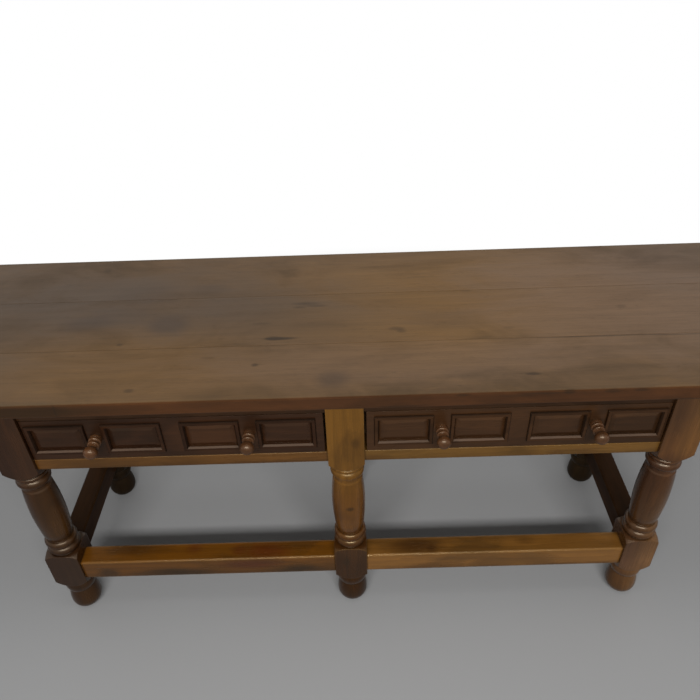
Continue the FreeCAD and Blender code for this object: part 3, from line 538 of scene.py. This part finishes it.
def wood(name, finish, along, shift, wear_and_light, rounding, gloss, rough=None, stain=None, stops=(), marks=(),
         zones=(), low_edge=None, upright=None, sides=None, grime=None):
    """Stained and waxed oak, with its grain, smoky patches, zones, marks, rubbed edges and dark hollows; its
    painted light and shade are highlit edges, shaded hollows, upright faces, leg halves and moulding faces,
    and a sheen on the top.
    """
    look = FINISHES[finish]
    graph = Finish(name)
    grain = grain_patterns(graph, along, shift)
    flat = graph.node("ShaderNodeNewGeometry").outputs["Normal"]
    rounded = graph.node("ShaderNodeBevel", {"Radius": rounding}, samples=EDGE_SAMPLES).outputs[0]
    pore = graph.times(graph.span(grain["pores"], *PORE_SPAN),
                       graph.span(grain["streaks"], *PORE_STREAK_SPAN))
    dulled = 0.0
    colour = stained(graph, grain, look, stain, stops)
    colour = zoned(graph, grain, colour, zones, sides)
    # Painted light and shade: upright faces take another tone than upper ones, as the light falls on them
    if upright:
        turned = TOP_UPRIGHT_SPAN if finish == "top_oak" else UPRIGHT_SPAN
        rise = graph.reckon("ABSOLUTE", graph.axes(flat)[2])
        colour = graph.blend(graph.span(rise, *turned), colour, upright, "MULTIPLY")
    if finish == "top_oak":
        dulled = arris(graph, rounded)
    # Painted light and shade, with grime and wear, on a moulding's faces
    if grime:
        colour, dulled = grimed(graph, colour, flat, grime)
    colour = grained(graph, grain, look, colour, low_edge, marks, pore)
    colour = wear_and_light_colour(graph, grain, look, colour, flat, rounded, wear_and_light)
    dull = rough or look["rough"]
    dullness = graph.span(grain["patches"], *ROUGH_SPAN, dull - ROUGH_LESS, dull + ROUGH_MORE)
    dullness = graph.plus(dullness, graph.times(graph.plus(pore, grain["fine"]), FINE_ROUGH))
    dullness = graph.plus(dullness, dulled)
    height = graph.minus(graph.times(grain["fine"], FINE_HEIGHT), graph.times(pore, PORE_DEPTH))
    bump = graph.node("ShaderNodeBump", {"Height": height, "Normal": rounded, **BUMP}).outputs[0]
    return graph.surface(graph.node("ShaderNodeBsdfPrincipled", {
        "Base Color": colour, "Roughness": dullness, "Normal": bump, "IOR": WOOD_IOR,
        "Specular IOR Level": gloss, "Specular Tint": look["sheen"]}))


# Steel of the screws

# How the scratches are stretched, the steel's two tones, and how its roughness follows the scratches
SCRATCH_STRETCH = (900.0, 900.0, 120.0)
STEEL_DARK = (0.30, 0.29, 0.28)
STEEL_PALE = (0.50, 0.48, 0.46)
STEEL_ROUGH = (0.2, 0.8, 0.35, 0.6)


def steel():
    graph = Finish("screw_steel")
    scratches = graph.noise(graph.node("ShaderNodeMapping", {0: graph.place, 3: SCRATCH_STRETCH}).outputs[0])
    colour = graph.blend(scratches, STEEL_DARK, STEEL_PALE)
    rough = graph.span(scratches, *STEEL_ROUGH)
    return graph.surface(graph.node("ShaderNodeBsdfPrincipled", {
        "Base Color": colour, "Roughness": rough, "Metallic": 1.0}))


# What each piece gets

# How far the grain of a piece is moved from the last piece's, so that no two look alike
GRAIN_STEP = Vector((0.37, 0.19, 0.23))
# Where the dark lower edge of a stretcher or lower rail starts and ends, from its underside
LOW_EDGE = (-0.02, 0.03)


def last_match(table, name):
    """The value of a table's last row whose word is in a piece's name."""
    matches = [value for word, value in table.items() if word in name]
    return matches[-1] if matches else None


def piece_finish(number, name, slot):
    """The wood of one piece, with the grain along it."""
    low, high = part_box(name)
    middle = (low + high) / 2
    reach = high - low
    along = "z" if name.startswith("leg_") else "xyz"[max(range(3), key=lambda axis: reach[axis])]
    extra = {"wear_and_light": last_match(WEAR_AND_PAINTED_LIGHT, name), "rounding": last_match(ROUNDING, name),
             "gloss": last_match(GLOSS, name), "rough": last_match(ROUGH, name),
             "upright": last_match(PAINTED_FACE_LIGHT_TONES, name), "zones": PIECE_ZONES.get(name, ())}
    if slot in STAINED:
        extra["stain"] = last_match(STAINS, name)
    if name in LEG_HEIGHT_COLOURS:
        extra["stops"] = LEG_HEIGHT_COLOURS[name]
    if name in LEG_SIDE_LIGHT_AND_SHADE:
        extra["sides"] = (middle.x, LEG_SIDE_LIGHT_AND_SHADE[name])
    if name == "leg_front_middle":
        extra["marks"] = on_front(LEG_MARKS, LEG_FRONT)
    if name.startswith("top_board"):
        extra["marks"] = on_board(TOP_MARKS, low.y, high.y)
        extra["zones"] = [(on_board(rows, low.y, high.y), tone) for rows, tone in TOP_ZONES]
    if name == "top_board_front":
        extra["marks"] += on_front(EDGE_MARKS, TOP_FRONT)
        extra["zones"].append((on_front(EDGE_DARK, TOP_FRONT), EDGE_STAIN))
    if "stretcher" in name or name.startswith("lower_rail"):
        extra["low_edge"] = tuple(low.z + away for away in LOW_EDGE)
    if "moulding" in name:
        extra["grime"] = middle.z
    shift = tuple(GRAIN_STEP * number - middle)
    return wood(f"{slot}_{name}", slot, along, shift, **extra)


def dress():
    """Gives every node the finish of its slot."""
    slots = {part["node"]: part["material_slot"] for part in frame["record"]["subparts"]}
    for number, (name, piece) in enumerate(sorted(nodes.items())):
        slot = slots[name]
        finish = steel() if slot == "screw_steel" else piece_finish(number, name, slot)
        piece.data.materials.clear()
        piece.data.materials.append(finish)


# Floor, lamps and background

FLOOR_HALF = 6.0
FLOOR_COLOUR = (0.25, 0.25, 0.25)
FLOOR_ROUGH = 0.7
# The floor fades to white outside an oval: its shape, and how far out the fade starts and ends
OVAL = (0.62, 1.0, 1.0)
OVAL_SPAN = (1.05, 1.74)
WHITE = (1.0, 1.0, 1.0)
WORLD_LEVEL = 0.19
# Lamps: name, place, target, length, depth, power
LAMPS = (
    ("front_lamp", (0.0, -2.8, 2.9), (0.0, 0.0, 0.4), 3.0, 0.36, 158.0),
    ("overhead_lamp", (0.2, -0.4, 3.4), (0.0, 0.0, 0.4), 1.4, 1.0, 20.0),
)


def set_floor():
    mesh = bpy.data.meshes.new("floor")
    shape = bmesh.new()
    bmesh.ops.create_grid(shape, x_segments=1, y_segments=1, size=FLOOR_HALF)
    shape.to_mesh(mesh)
    shape.free()
    floor = bpy.data.objects.new("floor", mesh)
    scene.collection.objects.link(floor)
    graph = Finish("floor")
    oval = graph.vector("MULTIPLY", graph.place, OVAL).outputs[0]
    fade = graph.span(graph.vector("LENGTH", oval).outputs[1], *OVAL_SPAN)
    seen = graph.node("ShaderNodeLightPath").outputs["Is Camera Ray"]
    matt = graph.node("ShaderNodeBsdfPrincipled", {"Base Color": FLOOR_COLOUR, "Roughness": FLOOR_ROUGH})
    white = graph.node("ShaderNodeEmission", {"Color": WHITE, "Strength": 1.0})
    mixed = {0: graph.times(fade, seen), 1: matt.outputs[0], 2: white.outputs[0]}
    mesh.materials.append(graph.surface(graph.node("ShaderNodeMixShader", mixed)))


def set_world():
    """A soft light from all sides, which the camera and mirrored rays see as plain white."""
    world = bpy.data.worlds.new("studio")
    scene.world = world
    graph = Graph(world)
    path = graph.node("ShaderNodeLightPath").outputs
    mirrored = graph.reckon("MAXIMUM", path["Is Glossy Ray"], path["Is Transmission Ray"])
    seen = graph.reckon("MAXIMUM", path["Is Camera Ray"], mirrored)
    level = graph.span(seen, 0.0, 1.0, WORLD_LEVEL, 1.0)
    background = graph.node("ShaderNodeBackground", {"Color": WHITE, "Strength": level})
    graph.node("ShaderNodeOutputWorld", {"Surface": background.outputs[0]})


def set_lamps():
    for name, place, target, length, depth, power in LAMPS:
        data = bpy.data.lights.new(name, "AREA")
        data.shape = "RECTANGLE"
        data.size = length
        data.size_y = depth
        data.energy = power
        lamp = bpy.data.objects.new(name, data)
        scene.collection.objects.link(lamp)
        aim = (Vector(target) - Vector(place)).to_track_quat("-Z", "Y")
        lamp.matrix_world = Matrix.Translation(place) @ aim.to_matrix().to_4x4()


scene.view_settings.view_transform = "Standard"
set_camera()
set_world()
set_lamps()
set_floor()
dress()
